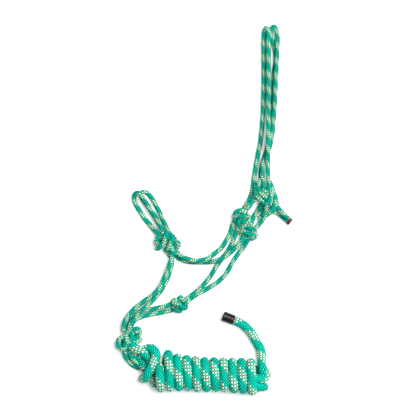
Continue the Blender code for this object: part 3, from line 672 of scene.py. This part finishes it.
def turn_point(place):
    """Centreline of the wound turns; whole places are at the top face's middle."""
    radius = LEAD_ROPE.diameter / 2
    # A turn is at its upper edge a quarter of a turn before the top face's middle, and at its
    # lower edge a quarter after
    top = between_turns(HANK_TOPS, place + QUARTER)
    bottom = between_turns(HANK_BOTTOMS, place - QUARTER)
    half_width = (top - bottom) / 2 - radius
    half_height = HANK_HEIGHT / 2 - radius
    angle = math.pi / 2 - 2 * math.pi * place
    c, s = math.cos(angle), math.sin(angle)
    reach = (abs(c) ** HANK_ROUNDING + abs(s) ** HANK_ROUNDING) ** (-1 / HANK_ROUNDING)
    y, z = -c * reach * half_width, s * reach * half_height
    # Across the top a turn keeps its own place, and underneath it steps over to the next
    turn = math.floor(place + QUARTER)
    step = eased(max(0.0, (place - turn - QUARTER) * 2))
    x = HANK_FIRST_TURN_X + HANK_PITCH * (turn + step) - HANK_SLANT * y / (2 * half_width)
    return (x, (top + bottom) / 2 + y, HANK_HEIGHT / 2 + z)


def lead_route():
    """From the hitch through four folded runs, the eleven turns round them and out at the tail."""
    last_place = len(HANK_TOPS) - 1 + LAST_TURN_SHARE
    steps = range(-POINTS_PER_TURN // 2, round(last_place * POINTS_PER_TURN))
    turns = [turn_point(step / POINTS_PER_TURN) for step in steps]
    return HIDDEN_RUNS + turns + LAST_RUN + LEAD_EXIT[:1]


def lead_pieces():
    """The wound lead and its free tail, as two cords that meet end to end."""
    material = MATERIALS["lead"]
    wound_line = smooth_route(lead_route())
    wound = mesh_object("lead_wound", [tube_arrays(wound_line, LEAD_ROPE)], material)
    tail_line = smooth_route(LEAD_EXIT + LEAD_TAIL)
    tail = mesh_object("lead_free_tail", [tube_arrays(tail_line, LEAD_ROPE, TAIL_PHASE)], material)
    return wound, wound_line, tail, tail_line


def revolve(rows, centre, along, count=48):
    """Points and triangles of a turned shape from (place, radius) rows, with closed ends."""
    side = unit(np.cross(along, (0.0, 0.0, 1.0)))
    up = np.cross(side, along)
    angle = 2 * np.pi * np.arange(count) / count
    ring = side * np.cos(angle)[:, None] + up * np.sin(angle)[:, None]
    points = np.vstack([centre + along * place + ring * radius for place, radius in rows])
    k = np.arange(count)
    n = (k + 1) % count
    faces = []
    for r in range(len(rows) - 1):
        a, b = r * count, (r + 1) * count
        faces += [np.stack([a + k, b + k, b + n], axis=1), np.stack([a + k, b + n, a + n], axis=1)]
    ends = len(points)
    points = np.vstack([points, centre + along * rows[0][0], centre + along * rows[-1][0]])
    last = (len(rows) - 1) * count
    faces.append(np.stack([k, n, np.full(count, ends)], axis=1))
    faces.append(np.stack([last + n, last + k, np.full(count, ends + 1)], axis=1))
    faces = np.vstack(faces)
    return points, faces, np.zeros((len(faces), 3, 2))


def lead_cap():
    """Shrunk sleeve with a rolled rim and a slightly hollow end."""
    line = smooth_route(LEAD_TAIL)
    along = unit(line[-1] - line[-3])
    start = line[-1] + along * GAP
    radius = CAP_DIAMETER / 2
    rows = [(0.0, radius - 0.9), (0.5, radius - 0.45), (3.0, radius - 0.25), (7.0, radius - 0.45),
            (11.0, radius - 0.2), (CAP_LENGTH - 3.4, radius - 0.3), (CAP_LENGTH - 2.4, radius),
            (CAP_LENGTH - 0.9, radius), (CAP_LENGTH - 0.2, radius - 0.4), (CAP_LENGTH, radius - 0.9),
            (CAP_LENGTH - 0.3, radius - 1.5), (CAP_LENGTH - 1.2, radius - 1.8),
            (CAP_LENGTH - 1.3, 1.0)]
    return mesh_object("lead_sleeve", [revolve(rows, start, along)], MATERIALS["sleeve"])


def melted_tip(name, ends):
    """A short bead of melted sheath, a little lumpy, flattened at its end."""
    first, last = np.array(ends[0], float), np.array(ends[1], float)
    along = unit(last - first)
    long = np.linalg.norm(last - first)
    radius = HALTER_CORD.diameter / 2 - TIP_SHRINK
    rows = [(0.4, radius - 0.5), (0.9, radius - 0.15), (1.8, radius + 0.05), (2.8, radius - 0.1),
            (3.8, radius + 0.1), (long - 0.9, radius), (long - 0.3, radius - 0.4),
            (long, radius - 1.2), (long - 0.25, 1.0)]
    return mesh_object(name, [revolve(rows, first, along, 32)], MATERIALS["tip"])


# Studio

def soft_light(name, towards, strength, spread):
    """Light from one side of the sky, with soft shadows."""
    data = bpy.data.lights.new(name, "SUN")
    data.energy = strength
    data.angle = math.radians(spread)
    light = bpy.data.objects.new(name, data)
    bpy.context.scene.collection.objects.link(light)
    light.location = -Vector(towards)
    light.rotation_euler = Vector(towards).to_track_quat("-Z", "Y").to_euler()


def pale_sky():
    """Even white light from all round."""
    sky = bpy.data.worlds.new("studio")
    sky.use_nodes = True
    background = sky.node_tree.nodes["Background"]
    background.inputs["Color"].default_value = WHITE
    background.inputs["Strength"].default_value = SKY_STRENGTH
    bpy.context.scene.world = sky


def pale_floor():
    """A plain floor that shows almost white under the lamp."""
    mesh = bpy.data.meshes.new("floor")
    half = FLOOR_HALF
    corners = [(-half, -half, 0), (half, -half, 0), (half, half, 0), (-half, half, 0)]
    mesh.from_pydata(corners, [], [(0, 1, 2, 3)])
    floor = bpy.data.objects.new("floor", mesh)
    bpy.context.scene.collection.objects.link(floor)
    material, tree, shader = new_material("pale_floor")
    plug(tree, shader, Base_Color=FLOOR_GREY, Roughness=0.9, Specular_IOR_Level=0.1,
         Emission_Color=WHITE, Emission_Strength=FLOOR_GLOW)
    mesh.materials.append(material)


def studio():
    """Sky, lamp and floor, with plain colour handling."""
    pale_sky()
    bpy.context.scene.view_settings.view_transform = "Standard"
    soft_light("key", KEY_DIRECTION, KEY_STRENGTH, KEY_SPREAD)
    pale_floor()


def camera():
    """Straight down on the halter, without perspective."""
    data = bpy.data.cameras.new("camera")
    data.type = "ORTHO"
    data.ortho_scale = CAMERA_FIELD
    made = bpy.data.objects.new("camera", data)
    made.location = CAMERA_PLACE
    bpy.context.scene.collection.objects.link(made)
    bpy.context.scene.camera = made


camera()
MATERIALS = {
    "halter": braid_material("halter_braid", HALTER_CORD, HALTER_TEAL, HALTER_CREAM, HALTER_SHADE),
    "lead": braid_material("lead_braid", LEAD_ROPE, LEAD_TEAL, LEAD_CREAM, LEAD_SHADE),
    "tip": scorched_material(),
    "sleeve": sleeve_material(),
}

# The lead rope: the wound part, the free tail with its sleeve, and the turns of the hitch
wound, wound_line, tail, tail_line = lead_pieces()
sleeve = lead_cap()
hitch = cords("lead_hitch_turns", HITCH_ROUTES, LEAD_ROPE, MATERIALS["lead"], HITCH_PHASE)
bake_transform(wound)
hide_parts("lead_hank", "lead_bight_upper", "lead_bight_lower")
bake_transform(tail)
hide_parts("lead_tail")
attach(sleeve, "lead_end")
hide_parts("lead_end_cap")
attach(hitch, "cheeks")
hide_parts("lead_hitch")

# Where the halter's cords bend: the two bodies, and where the bend starts and ends
CHEEKS_TO_CROWN = ("cheeks", "crown", (66, -33, 10), (77.8, -25.4, 10))
CROWN_TO_TAILS = ("crown", "crown_tails", (107, -13, 10), (113.5, -19.2, 10))
CHEEKS_TO_NOSEBAND = ("cheeks", "noseband", (-59.4, -58.8, 10), (-66.8, -49.4, 10))

# The halter's cords by CAD node: the route, and its bend if it has one
STRANDS = {
    "crown_strand_right": (CROWN_ONE, CHEEKS_TO_CROWN),
    "crown_strand_left": (CROWN_TWO, CHEEKS_TO_CROWN),
    "tie_loop_left_leg": (TIE_LEFT_LEG, CHEEKS_TO_CROWN),
    "tie_loop_right_leg": (TIE_RIGHT_LEG, CHEEKS_TO_CROWN),
    "crown_tail_upper": (TAIL_UPPER, CROWN_TO_TAILS),
    "crown_tail_lower": (TAIL_LOWER, CROWN_TO_TAILS),
    "noseband_outer": (NOSEBAND_OUTER, CHEEKS_TO_NOSEBAND),
    "noseband_inner": (NOSEBAND_INNER, CHEEKS_TO_NOSEBAND),
    "cheek_strand_right": (CHEEK_RIGHT, None),
    "cheek_strand_left": (CHEEK_LEFT, None),
    "throat_strand_right": (THROAT_RIGHT, None),
    "throat_strand_left": (THROAT_LEFT, None),
    "chin_strap_upper": (CHIN_UPPER, None),
    "chin_strap_lower": (CHIN_LOWER, None),
    "fiador_strand_upper": (FIADOR_UPPER, None),
    "fiador_strand_lower": (FIADOR_LOWER, None),
    "fiador_loop": (FIADOR_LOOP, None),
}
for index, (node_name, (route, joint)) in enumerate(STRANDS.items()):
    routes = [route, FIADOR_LOOP_INNER] if node_name == "fiador_loop" else [route]
    strand = cords(node_name + "_cord", routes, HALTER_CORD, MATERIALS["halter"],
                   STRAND_PHASE * index)
    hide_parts(node_name)
    if joint:
        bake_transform(strand)
    else:
        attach(strand, "cheeks")

for index, (node_name, (body, routes)) in enumerate(KNOTS.items()):
    knot = cords(node_name + "_turns", routes, HALTER_CORD, MATERIALS["halter"],
                 KNOT_PHASE * index)
    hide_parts(node_name)
    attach(knot, body)
for node_name, ends in (("tail_tip_upper", TIP_UPPER), ("tail_tip_lower", TIP_LOWER)):
    tip = melted_tip(node_name + "_bead", ends)
    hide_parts(node_name)
    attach(tip, "crown_tails")

studio()
